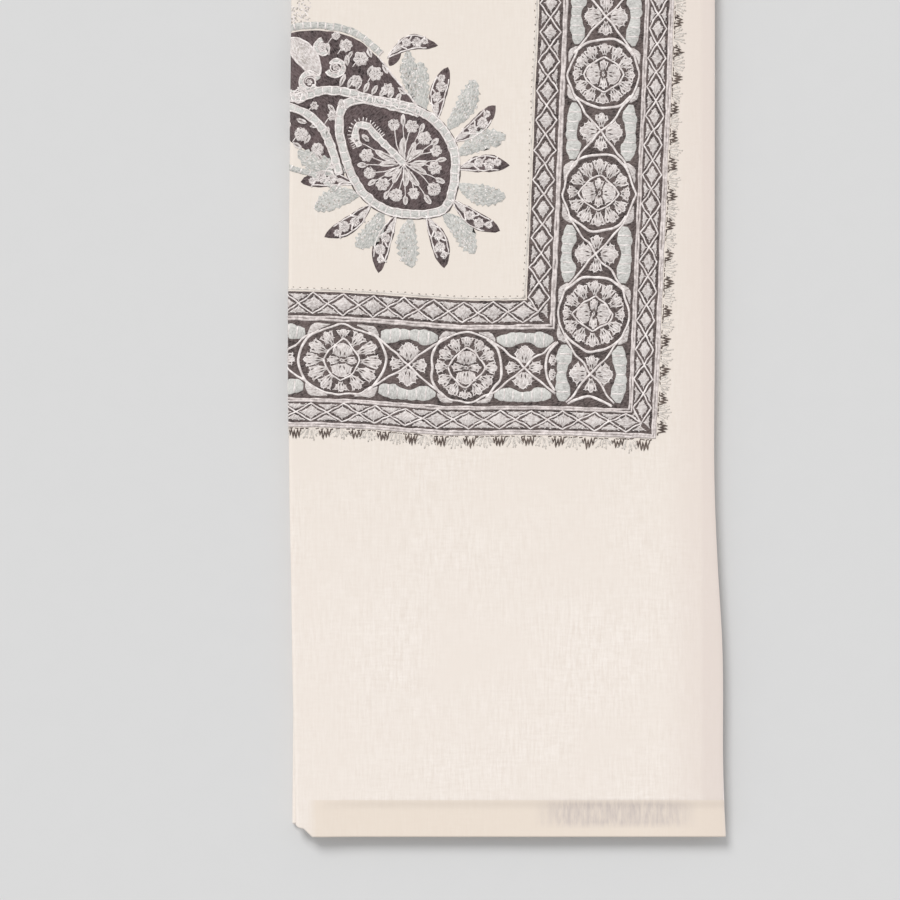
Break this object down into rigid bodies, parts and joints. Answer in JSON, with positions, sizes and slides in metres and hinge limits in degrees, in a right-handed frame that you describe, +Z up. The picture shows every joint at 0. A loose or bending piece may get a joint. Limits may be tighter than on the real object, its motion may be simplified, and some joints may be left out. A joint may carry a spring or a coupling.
{
  "type": "folded embroidered shawl",
  "caption": "Fine cream wool shawl folded flat into a long rectangle, with an embroidered border and a corner paisley on its top layer.",
  "frame": {"origin": "centre of the rectangle that the folded stack covers, on the surface it rests on", "axes": "+Z up, out of the embroidered face; +Y along the stack, from the fold across its length to the cloth's two ends; +X towards the top layer's selvedge"},
  "size_m": [0.263, 1, 0.0108],
  "materials": {
    "cream_wool": "fine plain-woven cream wool, matt",
    "dark_brown_thread": "dark aubergine-brown filling stitches, matt",
    "grey_blue_thread": "pale grey-blue filling stitches, faint sheen",
    "pink_grey_thread": "pale pink-grey filling stitches, faint sheen",
    "off_white_thread": "off-white outline thread, twisted, laid on top"
  },
  "bodies": {
    "root": {"shawl_cloth": "cream_wool"}
  },
  "joints": []
}
